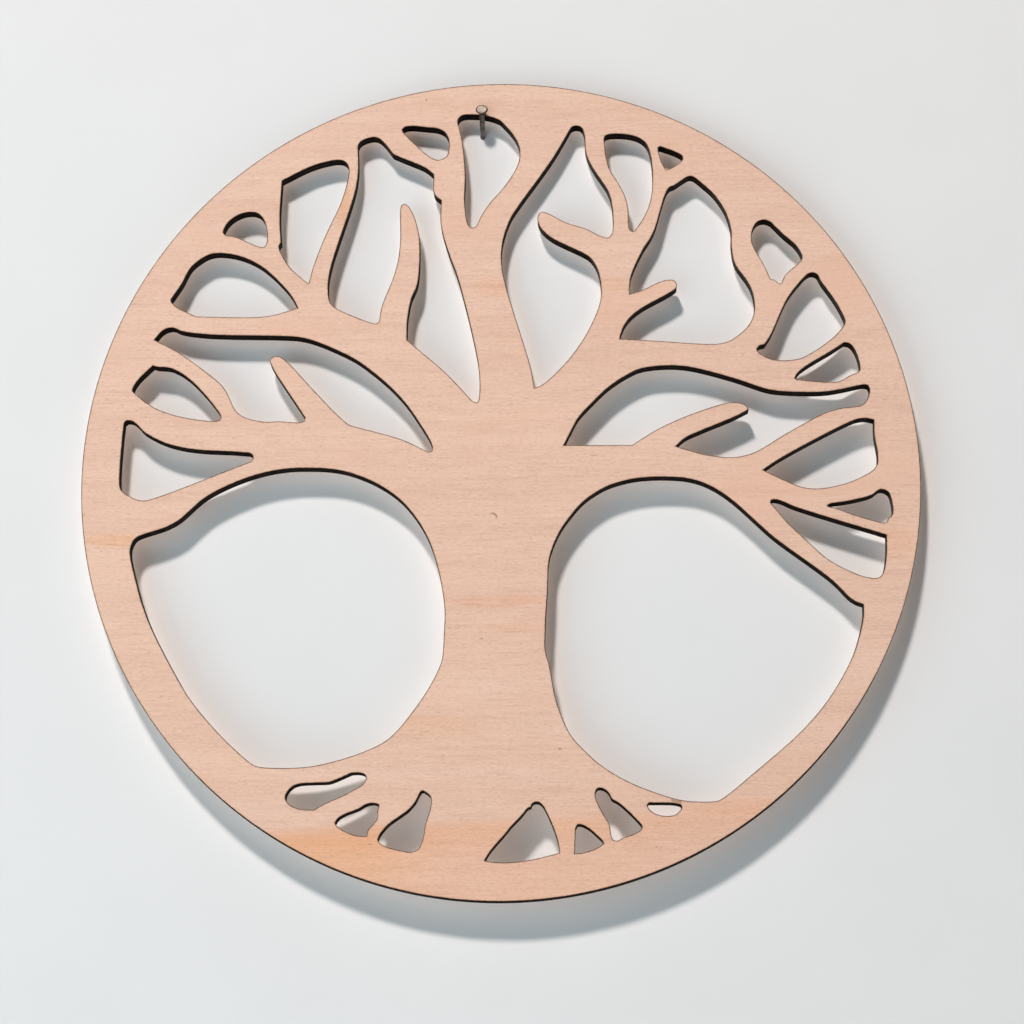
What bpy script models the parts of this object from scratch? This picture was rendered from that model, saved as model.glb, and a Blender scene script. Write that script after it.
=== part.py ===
"""Tree of life wall disc: one laser-cut plywood sheet of five veneers, hanging on a wire nail.

Metres, +Z up. The wall is the plane y = 0 and the room is on the -Y side. The origin is the point
where the nail's centreline enters the wall.
"""

import math

import bmesh
import bpy
from mathutils import Matrix, Vector

MM = 0.001

# Sheet
DISC_RADIUS = 150.0 * MM
WALL_GAP = 1.2 * MM             # back of the sheet to the wall
FACE_VENEER = 1.0 * MM          # sanded outer veneers
INNER_VENEER = 1.2 * MM         # crossbands and core
GLUE_LINE = 0.1 * MM
CHORD_ERROR = 0.14              # mm, largest gap between an outline and its straight pieces
RIM_STEPS = 96

# Nail
SHANK_RADIUS = 1.0 * MM
HEAD_RADIUS = 2.2 * MM
HEAD_THICK = 0.9 * MM
NAIL_LENGTH = 40.0 * MM
NAIL_OUTSIDE = 12.8 * MM        # along the nail, from the wall to the top of the head
NAIL_RISE = math.radians(25.0)  # the head end points up
POINT_LENGTH = 3.6 * MM
NAIL_SIDES = 32

# Hanging: the nail passes under the top edge of one window, at this place on the disc
NAIL_AT_X = -7.0 * MM
EDGE_AT_NAIL = 138.0 * MM
RUNNING_CLEARANCE = 0.15 * MM

SHEET_THICK = 2 * FACE_VENEER + 3 * INNER_VENEER + 4 * GLUE_LINE
FRONT_Y = -(WALL_GAP + SHEET_THICK)
PIVOT = Vector((0.0, FRONT_Y, -FRONT_Y * math.tan(NAIL_RISE)))
DISC_CENTRE_X = -NAIL_AT_X
DISC_CENTRE_Z = PIVOT.z + SHANK_RADIUS / math.cos(NAIL_RISE) + RUNNING_CLEARANCE - EDGE_AT_NAIL

# The windows cut through the sheet, in mm from the disc's centre, x to the right and z up, going
# round each one. The curve runs smoothly through every point, except that it turns sharply at a
# point marked C.
C = True
CROWN = {
    "rim_leaf_left": [
        (-101.0, 93.9), (-99.8, 96.7), (-97.5, 99.0), (-94.0, 100.8), (-90.5, 101.2), (-88.0, 100.3),
        (-86.2, 97.8), (-85.2, 94.0), (-85.2, 89.5), (-86.2, 88.0), (-88.7, 88.4), (-92.0, 89.9),
        (-96.0, 91.7), (-99.5, 92.3), (-100.7, 93.0),
    ],
    "upper_left": [
        (-79.9, 113.2, C), (-75.3, 115.6), (-69.8, 118.4), (-64.2, 120.2), (-59.8, 121.0),
        (-57.4, 120.5), (-55.9, 118.8), (-55.7, 115.5), (-56.6, 110.9), (-58.6, 104.0), (-61.5, 97.4),
        (-64.0, 92.0), (-66.2, 85.9), (-68.2, 80.1), (-69.4, 74.9), (-69.9, 74.1, C), (-72.0, 76.0),
        (-76.4, 80.1), (-79.0, 84.0), (-80.5, 87.3), (-80.6, 88.5), (-79.9, 89.6, C), (-80.3, 94.2),
        (-80.5, 98.7), (-80.1, 105.0),
    ],
    "left_of_trunk": [
        (-52.4, 124.8), (-52.2, 126.9), (-51.0, 128.3), (-49.0, 129.2), (-46.4, 129.7),
        (-44.6, 129.1), (-43.0, 127.7), (-41.2, 125.3), (-39.5, 123.1), (-37.3, 122.0),
        (-33.7, 120.6), (-30.0, 119.0), (-27.0, 117.4), (-24.7, 115.3, C), (-24.6, 112.5),
        (-24.8, 109.8), (-24.2, 107.6), (-23.1, 106.3), (-21.8, 105.4, C), (-22.0, 100.0),
        (-21.8, 95.5), (-20.7, 91.0), (-19.2, 85.9), (-17.0, 80.3), (-15.1, 74.2), (-12.8, 64.8),
        (-10.5, 55.9), (-8.9, 48.1), (-7.9, 42.0), (-7.5, 36.4), (-7.7, 31.2), (-8.3, 29.4),
        (-9.3, 29.4), (-10.3, 30.1), (-13.7, 33.9), (-18.0, 38.7), (-24.8, 45.1), (-29.0, 48.6),
        (-33.8, 52.8, C), (-33.8, 58.0), (-33.3, 63.0), (-32.3, 68.1), (-31.2, 71.2),
        (-30.1, 73.9, C), (-29.8, 81.0), (-29.5, 90.0), (-30.2, 94.5), (-31.2, 98.4),
        (-32.8, 102.0), (-34.0, 103.6), (-35.2, 104.3), (-36.3, 103.7), (-36.7, 101.7),
        (-36.5, 95.0), (-36.6, 89.8), (-37.1, 84.0), (-38.2, 78.8), (-40.1, 73.1), (-42.2, 67.8),
        (-43.3, 64.2), (-43.6, 61.0), (-44.1, 59.5), (-45.1, 58.9), (-47.0, 59.4), (-53.1, 61.7),
        (-57.0, 63.4), (-60.0, 65.1), (-61.7, 67.0), (-62.4, 70.0), (-62.5, 74.5), (-61.7, 79.8),
        (-60.0, 86.0), (-57.6, 93.6), (-54.8, 103.0), (-53.1, 109.2), (-52.3, 114.2), (-52.0, 119.0),
    ],
    "top_bean": [
        (-36.2, 132.6), (-35.3, 133.5), (-33.5, 133.9), (-29.0, 133.4), (-25.3, 133.3),
        (-22.8, 132.7), (-20.6, 131.4), (-19.3, 129.0), (-19.1, 126.0), (-19.6, 123.0),
        (-21.2, 121.4), (-23.1, 120.9), (-25.5, 121.8), (-29.2, 124.8), (-33.1, 128.7),
        (-35.6, 131.3),
    ],
    "nail_window": [
        (-15.9, 135.6), (-15.4, 137.0), (-14.2, 137.9), (-12.0, 138.2), (-8.1, 138.05),
        (-4.2, 137.4), (-1.4, 136.4), (0.1, 135.4), (1.1, 134.2), (3.6, 131.4), (5.7, 128.0),
        (6.7, 124.7), (6.6, 121.0), (5.5, 117.6), (3.6, 114.2), (0.8, 110.1), (-2.0, 107.0),
        (-5.3, 102.6), (-7.3, 99.2), (-8.6, 96.2), (-9.4, 95.2), (-10.3, 95.0), (-11.4, 95.5),
        (-12.3, 97.6), (-12.9, 101.5), (-13.2, 104.5), (-13.0, 110.0), (-13.1, 117.0),
        (-13.7, 124.0), (-14.6, 130.3),
    ],
    "right_of_trunk": [
        (27.4, 133.7), (28.9, 133.3), (29.9, 132.0), (30.4, 129.5), (30.5, 126.0), (31.2, 122.2),
        (33.0, 118.1), (35.8, 113.7), (38.3, 109.8), (39.8, 106.0), (40.5, 101.0), (40.7, 96.0),
        (40.4, 93.0), (39.5, 91.4), (38.3, 91.0), (36.0, 91.7), (33.0, 93.4), (28.5, 95.3),
        (24.7, 96.3), (20.8, 98.4), (17.2, 100.3), (14.9, 101.0), (13.9, 100.3), (13.3, 98.5),
        (13.5, 96.8), (14.3, 94.9), (15.8, 93.1), (18.6, 90.8), (23.0, 88.6), (28.0, 86.0),
        (31.8, 83.8), (33.8, 81.4), (35.2, 78.4), (36.0, 74.8), (36.3, 70.9), (36.0, 67.0),
        (35.0, 63.7), (33.2, 59.3), (30.9, 54.6), (27.7, 49.5), (23.5, 44.0), (19.1, 39.5),
        (16.3, 36.8), (14.1, 35.3), (12.3, 34.7, C), (12.0, 37.0), (11.1, 41.5), (9.7, 46.4),
        (7.4, 54.3), (5.0, 62.5), (2.7, 69.8), (1.3, 75.5), (0.4, 80.5), (0.3, 85.9), (0.9, 90.4),
        (2.4, 95.5), (4.6, 100.4), (8.0, 105.3), (11.9, 110.9), (18.0, 119.8), (21.3, 125.3),
        (23.6, 129.2), (24.9, 132.0), (26.0, 133.3),
    ],
    "top_right_drop": [
        (37.6, 128.7), (38.0, 129.8), (39.1, 130.3), (42.4, 130.5), (46.3, 130.2), (49.7, 129.2),
        (52.4, 127.3), (53.8, 124.8), (54.6, 121.0), (55.1, 116.0), (55.0, 109.5), (54.1, 104.2),
        (52.7, 100.2), (50.9, 97.0), (49.4, 94.7), (48.7, 93.6), (47.9, 93.3), (47.0, 93.8),
        (46.5, 95.3), (46.5, 99.0), (46.2, 102.5), (45.3, 106.3), (43.9, 109.6), (41.9, 113.1),
        (39.9, 116.4), (38.7, 119.8), (38.2, 123.1), (37.8, 126.4),
    ],
    "little_triangle": [
        (57.4, 125.1), (57.9, 125.6), (59.1, 125.3), (61.5, 124.4), (64.1, 123.2), (65.9, 122.0),
        (66.2, 120.9), (65.5, 119.8), (63.6, 118.4), (60.8, 116.9), (60.1, 116.9), (59.3, 118.0),
        (58.3, 120.3), (57.6, 123.1),
    ],
    "upper_right": [
        (68.8, 114.2), (67.2, 113.6), (65.8, 112.6), (63.6, 111.0), (61.6, 110.2), (60.5, 108.8),
        (59.5, 106.5), (58.0, 101.0), (56.3, 95.3), (54.7, 91.4), (52.6, 88.3), (50.8, 84.8),
        (48.8, 80.5), (47.4, 77.0), (46.7, 73.5), (46.6, 69.7, C), (50.2, 70.7), (56.3, 73.7),
        (59.1, 74.7), (61.3, 75.0), (63.0, 74.6), (63.7, 73.3), (63.4, 71.8), (61.8, 70.5),
        (58.6, 68.6), (51.9, 64.9), (49.1, 62.9), (46.3, 60.3), (44.5, 57.5), (43.4, 54.8),
        (43.0, 52.9, C), (50.2, 52.3), (61.0, 51.8), (72.4, 50.9), (76.5, 50.8), (80.2, 51.2),
        (83.6, 52.6), (86.9, 55.1), (89.6, 58.0), (91.1, 61.4), (91.6, 65.0), (91.2, 68.5),
        (90.4, 71.6), (88.9, 74.5), (86.7, 77.5), (84.7, 80.9), (83.8, 84.5), (83.4, 89.0),
        (83.5, 93.2), (82.6, 96.5), (81.6, 100.3), (79.9, 103.1), (78.0, 106.4), (75.2, 109.5),
        (72.2, 112.1), (70.2, 113.8),
    ],
    "rim_leaf_right": [
        (90.9, 91.5), (91.6, 94.5), (93.0, 96.6), (95.0, 97.4), (97.2, 97.0), (99.1, 95.4),
        (101.3, 92.8), (104.1, 90.4), (106.6, 88.0), (108.4, 85.2), (109.0, 83.2), (108.2, 81.6),
        (105.8, 79.5), (103.3, 77.1), (102.1, 75.3), (101.7, 73.8), (100.9, 73.3), (99.9, 73.9),
        (99.1, 74.7), (97.6, 75.1, C), (96.0, 79.0), (93.6, 83.4), (92.0, 86.4), (91.1, 89.0),
    ],
    "right_wedge": [
        (112.6, 77.4), (111.1, 76.9), (109.1, 75.1), (107.2, 72.6), (104.9, 69.8), (103.0, 66.7),
        (101.3, 63.1), (99.8, 59.3), (98.2, 55.7), (96.6, 52.8), (95.4, 51.0), (94.7, 50.4),
        (93.9, 50.4), (92.9, 49.8), (92.3, 48.8), (93.0, 47.6), (95.0, 46.2), (97.5, 45.1),
        (101.0, 44.6), (105.0, 44.8), (109.1, 45.8), (114.1, 48.9), (117.4, 51.2), (120.2, 53.5),
        (122.4, 55.9), (123.7, 57.9), (124.1, 58.9), (123.5, 61.0), (121.6, 65.1), (119.4, 68.7),
        (117.4, 71.4), (115.8, 73.9), (114.9, 75.9), (114.0, 77.0),
    ],
    "right_fin": [
        (105.8, 38.0), (106.6, 39.6), (109.0, 41.8), (113.0, 44.2), (118.0, 47.3), (122.4, 50.4),
        (123.8, 51.2), (125.4, 50.8), (127.0, 49.1), (128.2, 46.4), (128.9, 43.5), (129.1, 41.5),
        (128.8, 40.5), (127.5, 40.0), (124.1, 38.1), (121.9, 36.9), (119.3, 36.5), (113.0, 36.8),
        (108.6, 37.3), (106.4, 37.4),
    ],
    "long_right": [
        (22.8, 13.4, C), (24.1, 16.3), (25.8, 19.3), (27.4, 22.6), (29.7, 25.6), (33.0, 29.1),
        (38.0, 34.1), (42.0, 37.1), (45.8, 39.5), (50.0, 41.5), (54.7, 42.4), (59.1, 42.75),
        (63.6, 42.7), (69.0, 42.0), (78.0, 39.7), (88.0, 36.6), (95.2, 34.0), (100.5, 33.1),
        (107.0, 33.0), (113.0, 32.7), (118.0, 33.0), (124.0, 34.1), (130.3, 35.4), (131.8, 35.2),
        (132.4, 33.8), (132.1, 31.8), (131.3, 29.7), (129.9, 28.2), (128.3, 27.5), (126.3, 27.3),
        (122.5, 26.9), (116.5, 25.1), (109.1, 21.3), (100.2, 16.2), (92.4, 11.3), (89.0, 9.9),
        (85.8, 9.1), (81.9, 8.8), (78.0, 9.2), (73.6, 9.8), (66.3, 11.8), (62.9, 12.9, C),
        (65.6, 15.5), (68.4, 17.1), (75.2, 19.9), (83.0, 23.2), (89.1, 26.4, C), (88.1, 27.9),
        (86.3, 28.8), (83.9, 29.1), (81.3, 28.9), (74.5, 26.9), (65.2, 23.4), (56.9, 19.5),
        (50.2, 15.4), (47.2, 13.4, C), (35.0, 13.3),
    ],
    "right_eye": [
        (93.9, 4.1, C), (98.0, 7.0), (106.9, 12.1), (115.8, 16.9), (120.2, 19.2), (124.1, 21.2),
        (126.9, 22.4), (129.5, 23.0), (131.9, 22.9), (133.7, 22.4, C), (133.6, 18.7),
        (134.0, 14.8), (134.7, 10.9), (134.8, 8.2), (134.4, 5.8), (133.3, 4.2), (131.0, 2.6),
        (128.6, 1.3), (124.7, -0.4), (120.2, -1.7), (116.3, -2.5), (112.4, -2.8), (108.6, -2.4),
        (105.2, -1.3), (101.3, 0.4), (97.4, 2.5),
    ],
    "right_club": [
        (116.6, -9.0), (117.4, -8.4), (121.3, -7.9), (125.8, -7.0), (130.2, -5.9), (132.4, -5.2),
        (133.8, -4.1), (135.2, -3.3), (136.8, -3.3), (138.2, -4.1), (139.0, -5.5), (139.5, -8.2),
        (139.8, -11.0), (139.5, -12.4), (138.2, -13.5), (137.8, -14.8), (136.8, -15.4),
        (135.2, -15.2), (132.4, -14.2), (128.0, -13.1), (124.1, -11.6), (120.2, -10.1),
        (117.3, -9.5),
    ],
    "right_lower_fin": [
        (96.4, -7.6), (96.8, -6.9), (98.3, -6.8), (100.2, -7.3), (103.0, -8.7), (106.5, -9.9),
        (116.9, -13.3), (128.0, -16.9), (137.3, -19.8, C), (137.3, -24.0), (136.9, -28.5),
        (136.3, -32.0), (135.2, -34.5), (133.9, -35.3), (132.2, -35.3), (129.1, -34.8),
        (125.8, -33.6), (122.4, -31.9), (117.2, -29.0), (114.7, -27.0), (109.1, -21.7),
        (102.4, -15.2), (99.0, -11.0),
    ],
    "left_wedge": [
        (-135.1, 22.3), (-134.4, 23.0), (-132.8, 22.9), (-131.1, 21.9), (-128.4, 19.0),
        (-125.3, 17.1), (-121.5, 15.1), (-117.0, 13.6), (-112.0, 12.5), (-103.1, 11.6),
        (-90.3, 10.9), (-89.0, 10.3), (-88.6, 9.1), (-89.2, 7.9), (-92.0, 6.6), (-102.0, 2.7),
        (-113.1, -1.6), (-123.5, -5.6), (-127.0, -6.5), (-129.8, -6.2), (-133.0, -4.7),
        (-135.3, -3.0), (-136.2, -0.8), (-136.1, 3.0), (-135.8, 10.0), (-135.5, 17.0),
    ],
    "left_eye": [
        (-132.6, 34.0), (-132.0, 36.0), (-130.7, 38.0), (-128.7, 40.1), (-125.4, 43.4, C),
        (-124.6, 43.0), (-122.0, 42.9), (-118.7, 42.3), (-115.3, 40.6), (-111.8, 38.0),
        (-106.6, 32.7), (-103.4, 28.7), (-101.4, 26.0), (-100.5, 24.4), (-100.9, 23.1),
        (-102.4, 22.7), (-107.0, 23.2), (-113.7, 24.1), (-119.5, 25.7), (-124.2, 27.6),
        (-128.5, 30.4), (-131.5, 33.0),
    ],
    "long_left": [
        (-125.1, 53.1, C), (-122.6, 56.2), (-120.6, 57.3), (-118.7, 57.6), (-117.6, 57.2),
        (-116.2, 56.5), (-112.0, 55.7), (-106.0, 55.0), (-96.0, 54.7), (-83.0, 54.2),
        (-75.3, 54.1), (-70.9, 53.4), (-66.5, 52.1), (-59.8, 49.1), (-53.5, 46.1), (-47.6, 42.0),
        (-41.5, 36.9), (-36.0, 31.3), (-31.7, 25.8), (-27.7, 19.4), (-25.3, 15.5), (-24.4, 13.0),
        (-24.5, 11.5), (-25.3, 11.0), (-26.6, 11.4), (-29.5, 13.0), (-35.9, 15.9), (-44.0, 18.2),
        (-50.9, 20.2), (-53.6, 20.9), (-55.2, 21.9), (-60.5, 26.9), (-66.5, 33.3), (-72.0, 39.6),
        (-76.4, 44.2), (-78.9, 46.3), (-80.7, 46.9), (-82.4, 46.4), (-83.2, 45.2), (-82.6, 43.2),
        (-80.2, 39.6), (-77.0, 34.5), (-73.5, 29.0), (-71.2, 25.6), (-70.2, 24.0), (-70.3, 22.9),
        (-71.2, 22.3), (-74.0, 22.2), (-78.5, 22.6), (-83.0, 22.3), (-88.7, 23.1), (-92.5, 24.4),
        (-95.0, 26.4), (-96.8, 29.5), (-98.0, 32.5), (-100.2, 35.8), (-104.0, 39.3),
        (-109.5, 43.5), (-116.4, 48.4),
    ],
    "left_lens": [
        (-119.5, 68.0), (-118.4, 69.8), (-116.4, 72.8), (-114.4, 76.9), (-112.7, 80.0),
        (-110.3, 82.4), (-107.6, 84.3), (-105.0, 85.4), (-101.5, 85.6), (-97.5, 85.1),
        (-92.5, 83.6), (-88.7, 81.7), (-85.0, 79.1), (-80.5, 74.7), (-76.6, 70.4), (-74.6, 67.2),
        (-73.5, 64.9, C), (-77.6, 63.6), (-83.0, 62.1), (-89.0, 61.5), (-98.0, 61.5),
        (-107.0, 61.7), (-110.5, 61.9), (-112.0, 62.8), (-115.0, 64.1), (-117.6, 65.6),
        (-119.0, 67.0),
    ],
}
BESIDE_TRUNK = {
    "lower_right": [
        (54.7, 1.6), (60.2, 1.6), (65.8, 1.2), (70.2, 0.2), (74.1, -1.3), (78.0, -3.5),
        (81.5, -6.0), (86.4, -10.2), (91.5, -15.1), (94.7, -18.3), (98.0, -21.1), (104.7, -26.1),
        (112.4, -32.0), (117.3, -35.8), (121.3, -39.9), (123.7, -42.4), (126.0, -44.0),
        (128.6, -44.9, C), (128.7, -47.5), (128.3, -50.2), (127.3, -55.0), (125.3, -61.5),
        (122.4, -67.9), (118.8, -74.2), (115.0, -79.9), (110.2, -85.8), (104.4, -91.9),
        (98.0, -97.4), (89.7, -104.4), (83.6, -109.9), (80.2, -112.5), (77.6, -114.3),
        (76.0, -114.9), (72.4, -115.1), (64.5, -114.7), (59.1, -113.3), (50.2, -110.2),
        (43.5, -107.1), (38.0, -103.8), (33.0, -100.0), (28.6, -95.4), (25.5, -92.0),
        (23.5, -88.3), (21.4, -83.3), (19.8, -78.2), (18.7, -71.5), (17.5, -66.0), (16.3, -61.5),
        (16.1, -57.0), (16.4, -50.0), (16.9, -43.0), (17.1, -35.0), (17.5, -29.0), (18.6, -24.6),
        (20.3, -20.4), (22.7, -16.0), (26.0, -11.6), (29.7, -7.4), (33.5, -4.5), (38.0, -1.9),
        (42.5, -0.3), (48.0, 1.0),
    ],
    "lower_left": [
        (-72.6, 5.2), (-66.0, 5.2), (-60.5, 4.8), (-55.5, 3.9), (-50.5, 2.3), (-45.0, -0.1),
        (-40.5, -2.8), (-36.0, -6.2), (-32.3, -10.1), (-29.0, -14.6), (-26.0, -19.9),
        (-23.6, -26.0), (-21.5, -33.8), (-20.2, -40.8), (-19.5, -47.0), (-19.5, -52.0),
        (-20.0, -58.5), (-20.2, -63.5), (-20.8, -66.0), (-23.2, -71.5), (-26.6, -77.4),
        (-30.5, -82.8), (-35.3, -89.2), (-39.2, -93.0), (-42.8, -95.2), (-50.9, -98.6),
        (-58.5, -100.9), (-66.4, -102.6), (-74.0, -103.1), (-81.0, -103.0), (-85.6, -102.4),
        (-87.0, -101.6), (-92.0, -97.4), (-98.5, -91.2), (-104.8, -84.1), (-109.3, -78.4),
        (-113.3, -72.1), (-117.5, -64.2), (-122.6, -54.9), (-126.0, -47.0), (-128.6, -39.3),
        (-130.5, -31.8), (-131.6, -27.4), (-131.8, -24.5), (-131.0, -21.8), (-129.8, -20.2),
        (-128.0, -19.4), (-123.3, -17.9), (-118.7, -16.1), (-114.4, -13.6), (-111.4, -11.0),
        (-107.8, -7.4), (-103.0, -4.0), (-96.4, -0.7), (-90.0, 1.9), (-82.0, 4.1), (-77.0, 4.9),
    ],
}
ROOTS = {
    "root_spoon": [
        (-74.9, -113.6), (-74.4, -111.9), (-73.0, -110.1), (-71.0, -109.0), (-67.5, -108.5),
        (-60.5, -108.3), (-58.0, -107.7), (-54.0, -105.8), (-51.8, -104.9), (-49.5, -104.8),
        (-47.5, -105.3), (-46.7, -106.3), (-47.0, -107.7), (-48.3, -109.2), (-51.5, -111.0),
        (-52.8, -112.0), (-59.0, -114.6), (-62.0, -116.3), (-64.9, -117.9, C), (-69.0, -117.7),
        (-72.2, -116.8), (-74.1, -115.3),
    ],
    "root_left_axe": [
        (-57.3, -122.7), (-56.8, -121.5), (-54.8, -119.9), (-49.5, -117.8), (-47.0, -116.2),
        (-45.2, -115.7), (-43.1, -115.7), (-42.1, -116.2), (-42.1, -117.0), (-42.6, -117.8),
        (-42.4, -119.5), (-42.8, -121.3), (-44.3, -123.2), (-45.8, -125.2), (-46.2, -127.2, C),
        (-48.5, -127.2), (-51.0, -126.6), (-54.0, -125.4), (-56.6, -123.7),
    ],
    "root_left_fin": [
        (-42.3, -128.3), (-41.6, -126.7), (-40.0, -124.5), (-37.2, -121.9), (-33.0, -119.1),
        (-30.0, -116.2), (-28.2, -113.2), (-27.6, -111.8), (-26.8, -111.2), (-25.8, -111.7),
        (-24.3, -112.9), (-23.8, -114.3), (-24.0, -117.0), (-25.0, -120.5), (-25.8, -123.0),
        (-26.1, -126.0), (-27.0, -129.4), (-28.0, -131.4), (-29.4, -132.4), (-31.5, -132.7),
        (-35.0, -131.9), (-39.8, -130.7), (-41.6, -129.5),
    ],
    "root_tent": [
        (-4.9, -135.7, C), (-4.2, -134.3), (-2.0, -131.3), (1.3, -127.7), (3.3, -124.9),
        (6.9, -121.3), (9.3, -118.3), (10.2, -117.3), (11.1, -117.1), (11.5, -116.0),
        (12.5, -115.3), (13.8, -115.3), (15.0, -116.1), (16.0, -117.7), (17.4, -121.0),
        (19.1, -124.7), (20.4, -128.4), (21.0, -131.5), (21.1, -133.1, C), (17.0, -134.2),
        (11.0, -135.5), (5.0, -136.3), (0.0, -136.4), (-3.3, -136.1),
    ],
    "root_shell": [
        (27.7, -123.1), (29.7, -123.6), (31.8, -124.8), (34.4, -127.1), (36.2, -128.9),
        (36.5, -129.8), (35.8, -130.5), (32.7, -132.0), (29.5, -133.0), (26.5, -133.3, C),
        (26.6, -128.6), (26.9, -124.2),
    ],
    "root_right_axe": [
        (33.7, -112.6), (34.0, -111.1), (34.6, -110.4), (35.6, -110.3), (37.0, -110.8),
        (38.1, -111.7), (38.8, -113.0), (39.4, -114.1), (40.8, -114.8), (43.0, -116.5),
        (45.8, -119.1), (48.8, -122.2), (49.8, -123.5), (49.8, -124.6), (48.7, -125.6),
        (46.3, -126.8), (43.6, -127.6), (42.0, -128.6), (40.7, -128.8), (39.7, -128.2),
        (39.2, -126.5), (39.0, -124.6), (38.2, -122.2), (36.3, -119.1), (34.6, -115.8),
    ],
    "root_bowl": [
        (51.9, -116.3), (52.3, -115.6), (53.3, -115.5), (62.8, -115.9), (63.7, -116.4),
        (63.8, -117.2), (62.7, -118.9), (61.0, -119.9), (59.0, -120.1), (56.0, -119.8),
        (54.0, -118.9), (52.4, -117.5),
    ],
}


def clear_scene():
    for obj in list(bpy.data.objects):
        bpy.data.objects.remove(obj, do_unlink=True)


def wood(name, colour):
    material = bpy.data.materials.new(name)
    material.use_nodes = True
    shader = material.node_tree.nodes["Principled BSDF"]
    shader.inputs["Base Color"].default_value = (*colour, 1.0)
    shader.inputs["Roughness"].default_value = 0.62
    return material


def steel(name):
    material = bpy.data.materials.new(name)
    material.use_nodes = True
    shader = material.node_tree.nodes["Principled BSDF"]
    shader.inputs["Base Color"].default_value = (0.44, 0.43, 0.41, 1.0)
    shader.inputs["Metallic"].default_value = 1.0
    shader.inputs["Roughness"].default_value = 0.38
    return material


def slope_at(before, here, after, sharp):
    """The curve's slopes into and out of a point, each per unit of its own segment's step."""
    step_in = math.sqrt((here - before).length)
    step_out = math.sqrt((after - here).length)
    chord_in = (here - before) / step_in
    chord_out = (after - here) / step_out
    if sharp:
        return chord_in * step_in, chord_out * step_out
    slope = chord_in + chord_out - (after - before) / (step_in + step_out)
    return slope * step_in, slope * step_out


def smooth_outline(points, steps=10):
    """Points along the closed curve through the given points, none closer to straight than needed."""
    spots = [Vector(point[:2]) for point in points]
    sharp = [len(point) > 2 for point in points]
    count = len(spots)
    slopes = []
    for i in range(count):
        slopes.append(slope_at(spots[i - 1], spots[i], spots[(i + 1) % count], sharp[i]))
    curve = []
    for i in range(count):
        start = spots[i]
        end = spots[(i + 1) % count]
        leave = slopes[i][1]
        arrive = slopes[(i + 1) % count][0]
        for k in range(steps):
            t = k / steps
            curve.append(
                start * (2 * t**3 - 3 * t**2 + 1)
                + leave * (t**3 - 2 * t**2 + t)
                + end * (3 * t**2 - 2 * t**3)
                + arrive * (t**3 - t**2)
            )
    first = sharp.index(True) * steps if True in sharp else 0
    corners = {(i * steps - first) % len(curve) for i in range(count) if sharp[i]}
    return thinned(curve[first:] + curve[:first], corners)


def off_line(point, start, end):
    along = end - start
    share = max(0.0, min(1.0, (point - start).dot(along) / along.length_squared))
    return (start + along * share - point).length


def thinned(curve, corners):
    """The longest straight pieces that stay within CHORD_ERROR of the curve and end at each corner."""
    closed = curve + curve[:1]
    kept = [closed[0]]
    at = 0
    while at < len(closed) - 1:
        reach = at + 1
        while reach < len(closed) - 1 and reach not in corners:
            inner = closed[at + 1 : reach + 1]
            if max(off_line(spot, closed[at], closed[reach + 1]) for spot in inner) > CHORD_ERROR:
                break
            reach += 1
        kept.append(closed[reach])
        at = reach
    return kept[:-1]


def disc_outlines():
    """The rim and every window, in metres from the disc's centre."""
    rim = []
    for i in range(RIM_STEPS):
        turn = 2 * math.pi * i / RIM_STEPS
        rim.append(Vector((math.cos(turn), math.sin(turn))) * DISC_RADIUS)
    outlines = [rim]
    for group in (CROWN, BESIDE_TRUNK, ROOTS):
        for points in group.values():
            outlines.append([spot * MM for spot in smooth_outline(points)])
    return outlines


def veneer(name, outlines, front, thick, material):
    """One wood layer cut to the outlines. Its origin is on the axis that the disc swings about."""
    curve = bpy.data.curves.new(name, "CURVE")
    curve.dimensions = "2D"
    curve.fill_mode = "BOTH"
    curve.extrude = thick / 2
    shift = Vector((DISC_CENTRE_X - PIVOT.x, DISC_CENTRE_Z - PIVOT.z))
    for outline in outlines:
        spline = curve.splines.new("POLY")
        spline.points.add(len(outline) - 1)
        for place, spot in zip(spline.points, outline):
            place.co = (spot.x + shift.x, spot.y + shift.y, 0.0, 1.0)
        spline.use_cyclic_u = True
    curve.materials.append(material)
    layer = bpy.data.objects.new(name, curve)
    layer.location = (PIVOT.x, front + thick / 2, PIVOT.z)
    layer.rotation_euler = (math.pi / 2, 0.0, 0.0)
    bpy.context.scene.collection.objects.link(layer)
    return layer


def plywood():
    outlines = disc_outlines()
    layers = (
        ("face_veneer", FACE_VENEER, (0.74, 0.53, 0.41)),
        ("front_crossband", INNER_VENEER, (0.60, 0.40, 0.27)),
        ("core_veneer", INNER_VENEER, (0.68, 0.47, 0.33)),
        ("rear_crossband", INNER_VENEER, (0.60, 0.40, 0.27)),
        ("back_veneer", FACE_VENEER, (0.72, 0.52, 0.40)),
    )
    front = FRONT_Y
    for name, thick, colour in layers:
        veneer(name, outlines, front, thick, wood(name + "_wood", colour))
        front += thick + GLUE_LINE


def nail_ring(mesh, along, radius, square=0.0):
    """A ring round the nail's axis. At square = 1 it has four flat sides."""
    ring = []
    for i in range(NAIL_SIDES):
        turn = 2 * math.pi * i / NAIL_SIDES
        to_flat = math.cos((turn + math.pi / 4) % (math.pi / 2) - math.pi / 4)
        reach = radius * (1 - square + square * math.cos(math.pi / 4) / to_flat)
        ring.append(mesh.verts.new((reach * math.cos(turn), along, reach * math.sin(turn))))
    return ring


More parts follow.
